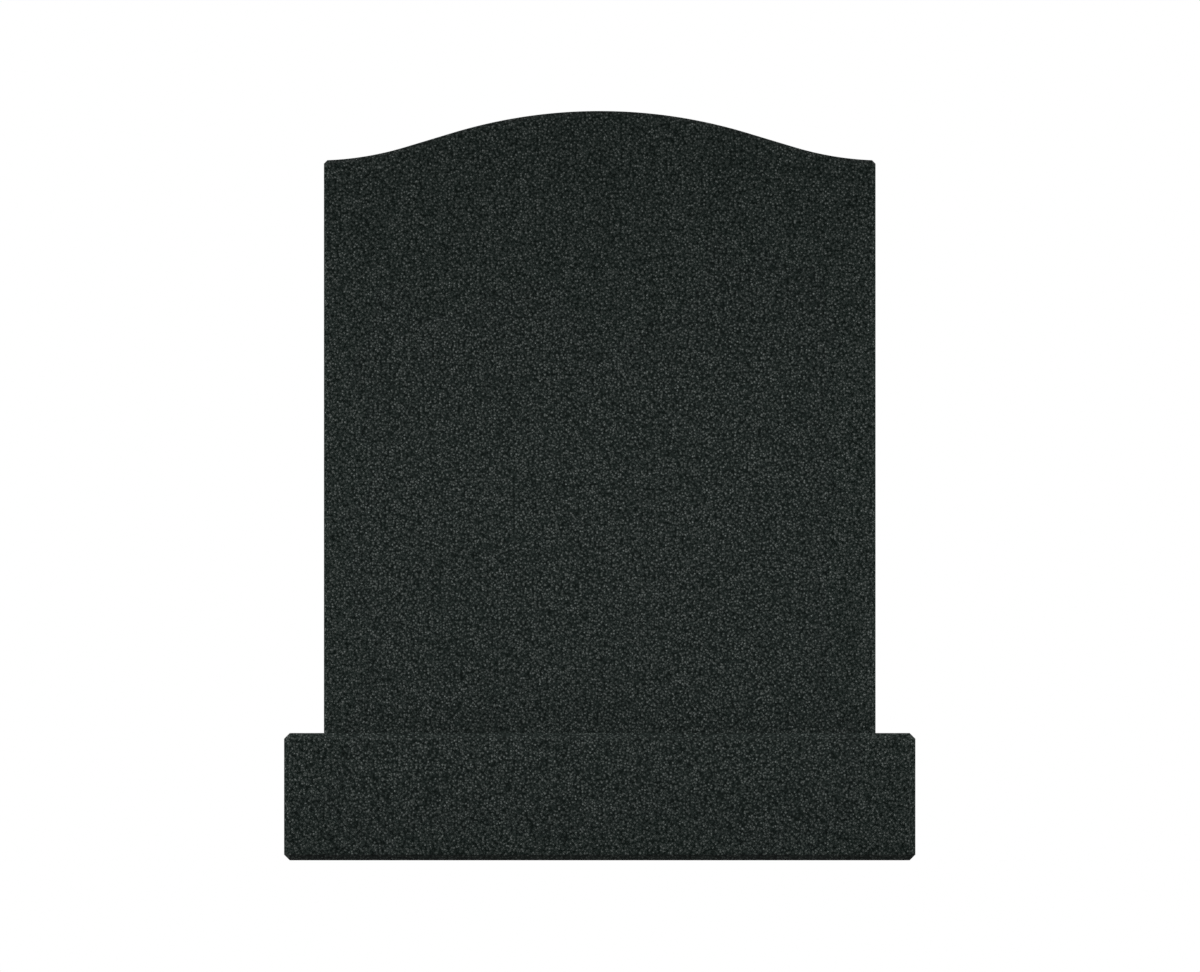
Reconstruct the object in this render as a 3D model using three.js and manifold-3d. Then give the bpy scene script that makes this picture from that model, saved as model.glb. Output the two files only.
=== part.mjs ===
// A plain granite headstone: a tablet with a serpentine top, standing on a wider and deeper base.
// Millimetres, +Z up. The origin is the middle of the base's underside, and the front faces -Y.

import * as THREE from "three";
import { mergeVertices, toCreasedNormals } from "three/addons/utils/BufferGeometryUtils.js";
import Module from "manifold-3d";

// The base. An arris is the 45-degree cut along a worked edge, and its size is the leg of that cut.
const baseWidth = 610;
const baseDepth = 305;
const baseHeight = 123;
const baseArris = 5.5;

// The tablet. Its height runs from its foot to the top of the crown.
const tabletWidth = 533;
const tabletHeight = 601;
const tabletThickness = 76;
const tabletArris = 4.5;
const ledgeBehindTablet = 25;

// The serpentine top: a crown arc and two hollow arcs, joined by the straight lines that touch both.
const crownRadius = 490;
const hollowRadius = 300;
const hollowOffset = 275; // from the centreline to the lowest point of a hollow arc
const crownRise = 47.75; // from the lowest point of a hollow arc to the top of the crown

const arcDivisions = 12; // an arc is drawn in twice this number of straight steps
const footWaste = 20; // stone below the foot, sawn off so that the foot has no arris
const creaseAngle = THREE.MathUtils.degToRad(20); // the arrises are sharper than this, the curves are not

const granite = { color: 0x272c2a, roughness: 0.2, metalness: 0 }; // polished

const wasm = await Module();
wasm.setup();

// A closed geometry as a solid that can be cut.
function solidOf(geometry) {
  const bare = geometry.clone();
  bare.deleteAttribute("normal");
  bare.deleteAttribute("uv");
  const merged = mergeVertices(bare);
  return new wasm.Manifold(
    new wasm.Mesh({
      numProp: 3,
      vertProperties: merged.attributes.position.array,
      triVerts: merged.index.array,
    }),
  );
}

// A solid as a geometry, shaded flat at its arrises and smooth round its curves.
function geometryOf(solid) {
  const { vertProperties, triVerts } = solid.getMesh();
  const geometry = new THREE.BufferGeometry();
  geometry.setAttribute("position", new THREE.BufferAttribute(vertProperties, 3));
  geometry.setIndex(new THREE.BufferAttribute(triVerts, 1));
  return toCreasedNormals(geometry, creaseAngle);
}

// A block with the outline seen from the front and an arris on every edge, centred on the outline's plane.
// outlineWithCut(leg) draws the outline with its corners cut back by leg. The sharp outline, with an
// arris round both faces, is cut to the outline whose corners are cut, so three cuts meet at each corner.
function dressedBlock(outlineWithCut, thickness, arris) {
  const arrissed = new THREE.ExtrudeGeometry(outlineWithCut(0), {
    depth: thickness - 2 * arris,
    curveSegments: arcDivisions,
    bevelEnabled: true,
    bevelSegments: 1,
    bevelThickness: arris,
    bevelSize: arris,
    bevelOffset: -arris,
  });
  arrissed.translate(0, 0, arris - thickness / 2);
  const cornersCut = new THREE.ExtrudeGeometry(outlineWithCut(arris), {
    depth: thickness,
    curveSegments: arcDivisions,
    bevelEnabled: false,
  });
  cornersCut.translate(0, 0, -thickness / 2);
  return solidOf(arrissed).intersect(solidOf(cornersCut));
}

// The base seen from the front, from its underside up.
function baseOutline(cut) {
  const side = baseWidth / 2;
  const outline = new THREE.Shape();
  outline.moveTo(cut - side, 0);
  outline.lineTo(side - cut, 0);
  outline.lineTo(side, cut);
  outline.lineTo(side, baseHeight - cut);
  outline.lineTo(side - cut, baseHeight);
  outline.lineTo(cut - side, baseHeight);
  outline.lineTo(-side, baseHeight - cut);
  outline.lineTo(-side, cut);
  return outline;
}

// The tablet seen from the front, with its foot at height 0 and the waste below it.
// Only the two shoulders are cut back.
function tabletOutline(cut) {
  const side = tabletWidth / 2;
  const crownCentre = tabletHeight - crownRadius;
  const hollowCentre = tabletHeight - crownRise + hollowRadius;

  // The slope of the line that touches a crown arc and a hollow arc on opposite sides.
  const centreToCentre = Math.hypot(hollowOffset, hollowCentre - crownCentre);
  const centreLine = Math.atan2(hollowOffset, hollowCentre - crownCentre);
  const slope = centreLine - Math.acos((crownRadius + hollowRadius) / centreToCentre);

  // The angle, from straight down, at which a hollow arc ends at its shoulder.
  const shoulderAngle = (inset) => Math.asin((hollowOffset - side + inset) / hollowRadius);
  const shoulder = hollowCentre - hollowRadius * Math.cos(shoulderAngle(0));
  const arcEnd = shoulderAngle(cut);
  const down = -Math.PI / 2;
  const up = Math.PI / 2;

  const outline = new THREE.Shape();
  outline.moveTo(-side, -footWaste);
  outline.lineTo(side, -footWaste);
  outline.lineTo(side, shoulder - cut);
  outline.absarc(hollowOffset, hollowCentre, hollowRadius, down - arcEnd, down - slope, true);
  outline.absarc(0, crownCentre, crownRadius, up - slope, up + slope, false);
  outline.absarc(-hollowOffset, hollowCentre, hollowRadius, down + slope, down + arcEnd, true);
  outline.lineTo(-side, shoulder - cut);
  return outline;
}

function makeBase() {
  const block = dressedBlock(baseOutline, baseDepth, baseArris);
  const base = new THREE.Mesh(geometryOf(block), new THREE.MeshStandardMaterial(granite));
  base.name = "base";
  return base;
}

function makeTablet() {
  const block = dressedBlock(tabletOutline, tabletThickness, tabletArris);
  const waste = new THREE.BoxGeometry(2 * tabletWidth, 2 * footWaste, 2 * tabletThickness);
  waste.translate(0, -footWaste, 0);
  const sawn = block.subtract(solidOf(waste));
  const tablet = new THREE.Mesh(geometryOf(sawn), new THREE.MeshStandardMaterial(granite));
  tablet.name = "tablet";
  tablet.position.y = baseHeight;
  tablet.position.z = ledgeBehindTablet + (tabletThickness - baseDepth) / 2;
  return tablet;
}

// The pieces are drawn as seen from the front, with +Y up and +Z towards the viewer.
// The group turns them upright.
const headstone = new THREE.Group();
headstone.rotation.x = Math.PI / 2;
headstone.add(makeBase(), makeTablet());

export default headstone;
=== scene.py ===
from math import acos, asin, atan2, cos, radians

import bmesh
import bpy
from mathutils import Matrix, Vector


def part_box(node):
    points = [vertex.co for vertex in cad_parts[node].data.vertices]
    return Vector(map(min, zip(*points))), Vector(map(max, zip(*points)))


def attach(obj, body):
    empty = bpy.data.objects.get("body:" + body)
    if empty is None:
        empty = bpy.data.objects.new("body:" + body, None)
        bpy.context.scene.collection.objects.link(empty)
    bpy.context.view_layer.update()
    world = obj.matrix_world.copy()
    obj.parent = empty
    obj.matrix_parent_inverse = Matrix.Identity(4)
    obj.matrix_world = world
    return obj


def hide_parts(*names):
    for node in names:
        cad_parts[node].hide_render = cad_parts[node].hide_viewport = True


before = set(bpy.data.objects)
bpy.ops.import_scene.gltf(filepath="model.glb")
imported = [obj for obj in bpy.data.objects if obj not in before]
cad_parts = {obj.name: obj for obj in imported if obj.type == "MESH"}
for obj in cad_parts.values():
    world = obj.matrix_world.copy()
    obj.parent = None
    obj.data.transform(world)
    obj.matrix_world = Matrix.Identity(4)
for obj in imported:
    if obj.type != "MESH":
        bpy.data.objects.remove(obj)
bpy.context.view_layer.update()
mm = 0.001  # a millimetre, in metres
tiny = 0.01 * mm  # two places closer than this are one
print("frame loaded with", sorted(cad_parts))


# camera

photoFrame = {
    "width": 1200,  # pixels of the photograph
    "height": 972,
    "pixelsPerMetre": 1035,
    "middle": 599.73,  # pixel column of the stone's centreline
    "ground": 860.32,  # pixel row of the base's underside
    "distance": 4.0,  # metres in front of the origin
}


def addCamera(look):
    data = bpy.data.cameras.new("elevation")
    data.type = "ORTHO"  # the photograph is a square-on elevation with no perspective
    data.ortho_scale = look["width"] / look["pixelsPerMetre"]
    camera = bpy.data.objects.new("camera", data)
    across = (look["width"] / 2 - look["middle"]) / look["pixelsPerMetre"]
    up = (look["ground"] - look["height"] / 2) / look["pixelsPerMetre"]
    camera.location = (across, -look["distance"], up)
    camera.rotation_euler = (radians(90), 0, 0)  # level, looking along +Y
    bpy.context.collection.objects.link(camera)
    bpy.context.scene.camera = camera


addCamera(photoFrame)
print("camera set")


# materials

def linearColour(hexColour):  # sRGB hex to the linear values that nodes take
    parts = [int(hexColour[i:i + 2], 16) / 255 for i in (1, 3, 5)]
    linear = [p / 12.92 if p <= 0.04045 else ((p + 0.055) / 1.055) ** 2.4 for p in parts]
    return (*linear, 1)


def addNode(tree, kind, inputs=None, **settings):  # a node given as an input is linked by its first output
    node = tree.nodes.new(kind)
    for name, value in settings.items():
        setattr(node, name, value)
    for name, value in (inputs or {}).items():
        if isinstance(value, bpy.types.Node):
            value = value.outputs[0]
        if isinstance(value, bpy.types.NodeSocket):
            tree.links.new(value, node.inputs[name])
        else:
            node.inputs[name].default_value = value
    return node


def setStops(ramp, stops):  # each stop is its place on the ramp and its linear colour
    while len(ramp.elements) < len(stops):
        ramp.elements.new(1)
    for element, (place, colour) in zip(ramp.elements, stops):
        element.position = place
        element.color = colour


def newMaterial(name):
    material = bpy.data.materials.new(name)
    material.use_nodes = True
    material.node_tree.nodes.clear()
    return material, material.node_tree


# dark gabbro, sold as dark grey granite: pale green-grey feldspar set in near-black pyroxene
darkGranite = {
    "ior": 1.5,
    "crystal": 0.8 * mm,  # mean width of a crystal
    "cluster": 2.3 * mm,  # from the middle of one pale cluster of crystals to the next
    "reach": 0.8,  # share of that at which the pale crystals give way to the dark
    "fade": 1.75,  # how fast they darken on the way there
    "palest": 1.0,  # tone in the middle of the palest clusters
    "darkest": 0.5,  # and of the darkest
    "tones": [
        (0.00, "#070c0a"),
        (0.06, "#111715"),
        (0.16, "#181e1c"),
        (0.32, "#252927"),
        (0.55, "#404442"),
        (0.90, "#5a5f5d"),
    ],
}


def graniteTones(tree, look):  # the stone's colour, and the crystals for a finish to work on
    place = addNode(tree, "ShaderNodeTexCoord").outputs["Object"]
    crystals = addNode(tree, "ShaderNodeTexVoronoi", {"Vector": place, "Scale": 1 / look["crystal"]})
    clusters = addNode(tree, "ShaderNodeTexVoronoi", {  # looked up by whole crystals, so their tone is even
        "Vector": crystals.outputs["Position"], "Scale": 1 / look["cluster"]})
    chances = addNode(tree, "ShaderNodeSeparateColor", {"Color": clusters.outputs["Color"]})
    paleness = addNode(tree, "ShaderNodeMapRange", {
        "Value": chances.outputs["Red"], "To Min": look["darkest"], "To Max": look["palest"]})
    inward = addNode(tree, "ShaderNodeMapRange", {
        "Value": clusters.outputs["Distance"], "From Max": look["reach"], "To Min": 1, "To Max": 0})
    middle = addNode(tree, "ShaderNodeMath", {0: inward, 1: look["fade"]}, operation="POWER")
    tone = addNode(tree, "ShaderNodeMath", {0: paleness, 1: middle}, operation="MULTIPLY")
    tones = addNode(tree, "ShaderNodeValToRGB", {"Fac": tone})
    setStops(tones.color_ramp, [(level, linearColour(colour)) for level, colour in look["tones"]])
    return tones, crystals


# ground flat and buffed to a mirror: the grain shows deep and dark, and faces seen at a slant turn glossy
polish = {
    "smoothest": 0.14,  # roughness of the hardest crystals
    "roughest": 0.24,  # and of those that take less polish
    "relief": 0.003 * mm,  # how far the middle of a crystal stands proud of its rim
}


def polishedGranite(name, look, finish):
    material, tree = newMaterial(name)
    colour, crystals = graniteTones(tree, look)
    chances = addNode(tree, "ShaderNodeSeparateColor", {"Color": crystals.outputs["Color"]})
    roughness = addNode(tree, "ShaderNodeMapRange", {
        "Value": chances.outputs["Green"], "To Min": finish["smoothest"], "To Max": finish["roughest"]})
    relief = addNode(tree, "ShaderNodeBump", {
        "Height": crystals.outputs["Distance"], "Distance": finish["relief"]}, invert=True)
    shader = addNode(tree, "ShaderNodeBsdfPrincipled", {
        "Base Color": colour, "Roughness": roughness, "IOR": look["ior"], "Normal": relief})
    addNode(tree, "ShaderNodeOutputMaterial", {"Surface": shader})
    return material


# left as the saw leaves it: bruised crystals make it paler and dull, with fine straight scores
sawing = {
    "bruise": "#5c605e",
    "bruised": 0.35,  # how far the bruise hides the tones below
    "score": 3.0 * mm,  # from one saw score to the next
    "wander": 1.5,  # how far the scores stray from straight
    "raggedness": 2.0,  # how finely they do
    "depth": 0.06 * mm,
    "roughness": 0.8,
}
waveLength = 0.314  # from one crest of a wave texture to the next, at a scale of 1


def sawnGranite(name, look, finish):
    material, tree = newMaterial(name)
    colour, _ = graniteTones(tree, look)
    bruised = addNode(tree, "ShaderNodeMix", {  # 6 and 7 are its colours, and output 2 is their mix
        0: finish["bruised"], 6: colour, 7: linearColour(finish["bruise"])}, data_type="RGBA")
    place = addNode(tree, "ShaderNodeTexCoord").outputs["Object"]
    scores = addNode(tree, "ShaderNodeTexWave", {
        "Vector": place, "Scale": waveLength / finish["score"],
        "Distortion": finish["wander"], "Detail": finish["raggedness"]}, bands_direction="Y")
    relief = addNode(tree, "ShaderNodeBump", {"Height": scores.outputs["Fac"], "Distance": finish["depth"]})
    shader = addNode(tree, "ShaderNodeBsdfPrincipled", {
        "Base Color": bruised.outputs[2], "Roughness": finish["roughness"], "IOR": look["ior"],
        "Normal": relief})
    addNode(tree, "ShaderNodeOutputMaterial", {"Surface": shader})
    return material


polished = polishedGranite("polished dark granite", darkGranite, polish)
sawn = sawnGranite("sawn dark granite", darkGranite, sawing)
print("stone finishes mixed")


# pieces

softenedTurn = radians(20)  # edges that turn more than this are softened, which leaves out the curves' steps
creasedTurn = radians(30)  # those that still turn this much are shaded sharp, as at the tablet's foot
softeningSteps = 3
underneath = -0.99  # a face whose normal has less height than this lies on something


def sweep(bm, vert, centre, angle, steps):  # carries a point round an arc, and gives the arc's last point
    ends = bmesh.ops.spin(bm, geom=[vert], cent=centre, axis=(0, 1, 0), angle=angle, steps=steps,
                          use_merge=False, use_duplicate=False)["geom_last"]
    return next(v for v in ends if isinstance(v, bmesh.types.BMVert))


def drawTo(bm, vert, point):  # draws a straight edge on from a point
    end = bmesh.ops.extrude_vert_indiv(bm, verts=[vert])["verts"][0]
    end.co = point
    return end


def cutEdges(bm, edges, leg, segments):
    bmesh.ops.bevel(bm, geom=edges, offset=leg, offset_type="OFFSET", affect="EDGES",
                    segments=segments, profile=0.5, material=-1, clamp_overlap=True)


def softenEdges(bm, radius, keep):  # rounds every edge that a hand would feel, apart from those to keep
    sharp = [e for e in bm.edges if e.calc_face_angle(0) > softenedTurn and not keep(e)]
    cutEdges(bm, sharp, radius, softeningSteps)


def finishPiece(bm, name, node):
    bmesh.ops.recalc_face_normals(bm, faces=bm.faces)
    for face in bm.faces:
        face.smooth = True
        face.material_index = 1 if face.normal.z < underneath else 0
    for edge in bm.edges:
        edge.smooth = edge.calc_face_angle(0) < creasedTurn
    mesh = bpy.data.meshes.new(name)
    bm.to_mesh(mesh)
    bm.free()
    mesh.materials.append(polished)
    mesh.materials.append(sawn)  # for what lies on something
    piece = bpy.data.objects.new(name, mesh)
    bpy.context.collection.objects.link(piece)
    flatten = piece.modifiers.new("flat faces", "WEIGHTED_NORMAL")
    flatten.keep_sharp = True
    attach(piece, "root")
    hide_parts(node)
    return piece


baseLook = {
    "arris": 5.5 * mm,  # leg of the cut along its edges
    "softening": 0.3 * mm,
}


def buildBase(look):
    low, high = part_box("base")
    bm = bmesh.new()
    bmesh.ops.create_cube(bm, size=1)
    bmesh.ops.scale(bm, vec=high - low, verts=bm.verts)
    bmesh.ops.translate(bm, vec=(low + high) / 2, verts=bm.verts)
    cutEdges(bm, bm.edges[:], look["arris"], segments=1)
    softenEdges(bm, look["softening"], lambda edge: False)
    return finishPiece(bm, "granite_base", "base")


tabletLook = {
    "crownRadius": 490 * mm,
    "hollowRadius": 300 * mm,
    "hollowOffset": 275 * mm,  # from the centreline to a hollow's lowest point
    "crownRise": 47.75 * mm,  # from a hollow's lowest point to the crown
    "arris": 4.5 * mm,
    "softening": 0.3 * mm,
    "hollowSteps": 24,
    "crownSteps": 40,  # in each half
}


def buildTablet(look):
    low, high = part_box("tablet")
    side, front, foot, crown = high.x, low.y, low.z, high.z
    crownCentre = Vector((0, front, crown - look["crownRadius"]))
    hollowCentre = Vector((look["hollowOffset"], front, crown - look["crownRise"] + look["hollowRadius"]))
    between = hollowCentre - crownCentre
    radii = look["crownRadius"] + look["hollowRadius"]
    slope = atan2(between.x, between.z) - acos(radii / between.length)  # of the line that touches both arcs
    lean = asin((look["hollowOffset"] - side) / look["hollowRadius"])  # where the hollow meets the side

    # the right half of the outline, from the foot up to the middle of the crown, then both halves
    bm = bmesh.new()
    corner = bm.verts.new((side, front, foot))
    shoulder = drawTo(bm, corner, (side, front, hollowCentre.z - look["hollowRadius"] * cos(lean)))
    hollowEnd = sweep(bm, shoulder, hollowCentre, slope - lean, look["hollowSteps"])
    rise = Matrix.Rotation(slope, 3, "Y") @ Vector((0, 0, look["crownRadius"]))
    crownStart = drawTo(bm, hollowEnd, crownCentre + rise)
    sweep(bm, crownStart, crownCentre, -slope, look["crownSteps"])
    bmesh.ops.mirror(bm, geom=bm.verts[:] + bm.edges[:], merge_dist=tiny, axis="X")
    bm.edges.new([v for v in bm.verts if v.co.z < foot + tiny])  # the foot closes the outline

    face = bmesh.ops.contextual_create(bm, geom=bm.edges[:])["faces"][0]
    grown = bmesh.ops.extrude_face_region(bm, geom=[face])["geom"]
    backVerts = [v for v in grown if isinstance(v, bmesh.types.BMVert)]
    bmesh.ops.translate(bm, vec=(0, high.y - front, 0), verts=backVerts)

    def atFoot(edge):
        return all(v.co.z < foot + tiny for v in edge.verts)

    def worked(edge):  # both faces' outlines and the two shoulders carry an arris, the foot doesn't
        start, end = (v.co for v in edge.verts)
        throughStone = abs(start.y - end.y) > tiny
        return not atFoot(edge) and (not throughStone or abs(start.x) > side - tiny)

    cutEdges(bm, [e for e in bm.edges if worked(e)], look["arris"], segments=1)
    softenEdges(bm, look["softening"], atFoot)
    return finishPiece(bm, "granite_tablet", "tablet")


base = buildBase(baseLook)
print("base built")
tablet = buildTablet(tabletLook)
print("tablet built")


# light and ground

studio = {  # a direction's height runs from -1, straight below, to 1, straight above
    "backdrop": 1.0,  # what the camera sees behind the stone
    "sky": 1.08,  # soft light on the stone from above
    "ground": 0.05,  # and from below
    "horizon": 0.05,  # the height, up and down, over which one gives way to the other
    "mirrored": [  # heights, and how bright the polish mirrors each
        (-1.00, 0.09),
        (-0.70, 0.08),
        (-0.45, 0.06),
        (-0.05, 0.02),
        (0.08, 0.02),
        (0.30, 0.28),
        (0.45, 0.42),
        (0.65, 0.42),
        (0.85, 0.10),
        (1.00, 0.08),
    ],
    "corners": 0.65,  # low lights at the front right and the back left, which pick out the upright arrises
    "cornerEdge": -0.2,  # X times Y where they begin: 0 is square-on, and -0.5 is the corner itself
    "cornerFull": -0.4,  # and where they are at their full strength
    "cornerTop": 0.1,  # the height at which they end
    "floorColour": "#f7f6f4",
    "floorSize": 80.0,  # metres
}


def addWorld(look):
    world = bpy.data.worlds.new("studio")
    world.use_nodes = True
    world.cycles.sampling_method = "NONE"  # a soft dome needs no sampling of its own
    bpy.context.scene.world = world
    tree = world.node_tree
    tree.nodes.clear()
    direction = addNode(tree, "ShaderNodeTexCoord").outputs["Generated"]
    across, along, height = addNode(tree, "ShaderNodeSeparateXYZ", {0: direction}).outputs

    # the soft dome that lights the grain
    dome = addNode(tree, "ShaderNodeMapRange", {
        "Value": height, "From Min": -look["horizon"], "From Max": look["horizon"],
        "To Min": look["ground"], "To Max": look["sky"]})
    soft = addNode(tree, "ShaderNodeBackground", {"Color": (1, 1, 1, 1), "Strength": dome})

    # what the polish mirrors: level bands, and the two low corners
    upward = addNode(tree, "ShaderNodeMapRange", {"Value": height, "From Min": -1, "From Max": 1})
    mirrored = addNode(tree, "ShaderNodeValToRGB", {"Fac": upward})
    setStops(mirrored.color_ramp, [((z + 1) / 2, (level, level, level, 1)) for z, level in look["mirrored"]])
    bands = addNode(tree, "ShaderNodeBackground", {"Color": mirrored, "Strength": 1})
    diagonal = addNode(tree, "ShaderNodeMath", {0: across, 1: along}, operation="MULTIPLY")
    corners = addNode(tree, "ShaderNodeMapRange", {
        "Value": diagonal, "From Min": look["cornerEdge"], "From Max": look["cornerFull"],
        "To Max": look["corners"]})
    low = addNode(tree, "ShaderNodeMapRange", {
        "Value": height, "From Min": look["cornerTop"], "From Max": 0})
    lowCorners = addNode(tree, "ShaderNodeMath", {0: corners, 1: low}, operation="MULTIPLY")
    glints = addNode(tree, "ShaderNodeBackground", {"Color": (1, 1, 1, 1), "Strength": lowCorners})
    sheen = addNode(tree, "ShaderNodeAddShader", {0: bands, 1: glints})

    path = addNode(tree, "ShaderNodeLightPath")
    white = addNode(tree, "ShaderNodeBackground", {"Color": (1, 1, 1, 1), "Strength": look["backdrop"]})
    lighting = addNode(tree, "ShaderNodeMixShader", {0: path.outputs["Is Glossy Ray"], 1: soft, 2: sheen})
    seen = addNode(tree, "ShaderNodeMixShader", {0: path.outputs["Is Camera Ray"], 1: lighting, 2: white})
    addNode(tree, "ShaderNodeOutputWorld", {"Surface": seen})


lamps = {  # places and sizes in metres, facing in degrees about Z with 0 for +Y
    "front box": {"place": (0, -0.85, 0.30), "facing": 0, "size": (1.6, 0.6), "spread": 120, "watts": 5.7},
    "back box": {"place": (0, 1.03, 0.30), "facing": 180, "size": (1.6, 0.6), "spread": 120, "watts": 5.7},
    "left box": {"place": (-1.5, -0.2, 0.5), "facing": -90, "size": (0.8, 0.8), "spread": 180, "watts": 22},
    "right box": {"place": (1.5, -0.2, 0.5), "facing": 90, "size": (0.8, 0.8), "spread": 180, "watts": 18},
}


def addLamps(allLamps, stones):
    lit = bpy.data.collections.new("lit by the boxes")  # the stones alone, so that the floor stays even
    for stone in stones:
        lit.objects.link(stone)
    for name, look in allLamps.items():
        data = bpy.data.lights.new(name, "AREA")
        data.shape = "RECTANGLE"
        data.size, data.size_y = look["size"]
        data.spread = radians(look["spread"])
        data.energy = look["watts"]
        lamp = bpy.data.objects.new(name, data)
        lamp.location = look["place"]
        lamp.rotation_euler = (radians(90), 0, radians(look["facing"]))
        lamp.visible_camera = False
        lamp.visible_glossy = False  # polarised, so that it lights the grain without a glare on the polish
        lamp.light_linking.receiver_collection = lit
        bpy.context.collection.objects.link(lamp)


def addFloor(look):
    bm = bmesh.new()
    bmesh.ops.create_grid(bm, x_segments=1, y_segments=1, size=look["floorSize"] / 2)
    mesh = bpy.data.meshes.new("floor")
    bm.to_mesh(mesh)
    bm.free()
    floor = bpy.data.objects.new("floor", mesh)
    bpy.context.collection.objects.link(floor)
    material, tree = newMaterial("pale matt floor")
    shader = addNode(tree, "ShaderNodeBsdfPrincipled", {
        "Base Color": linearColour(look["floorColour"]), "Roughness": 1, "Specular IOR Level": 0})
    addNode(tree, "ShaderNodeOutputMaterial", {"Surface": shader})
    mesh.materials.append(material)
    floor.visible_diffuse = False  # no light is thrown up on the stone's lower arris
    floor.visible_glossy = False


addWorld(studio)
addLamps(lamps, [base, tablet])
addFloor(studio)
bpy.context.scene.view_settings.view_transform = "Standard"  # shows the colours as they are given
print("lights set")
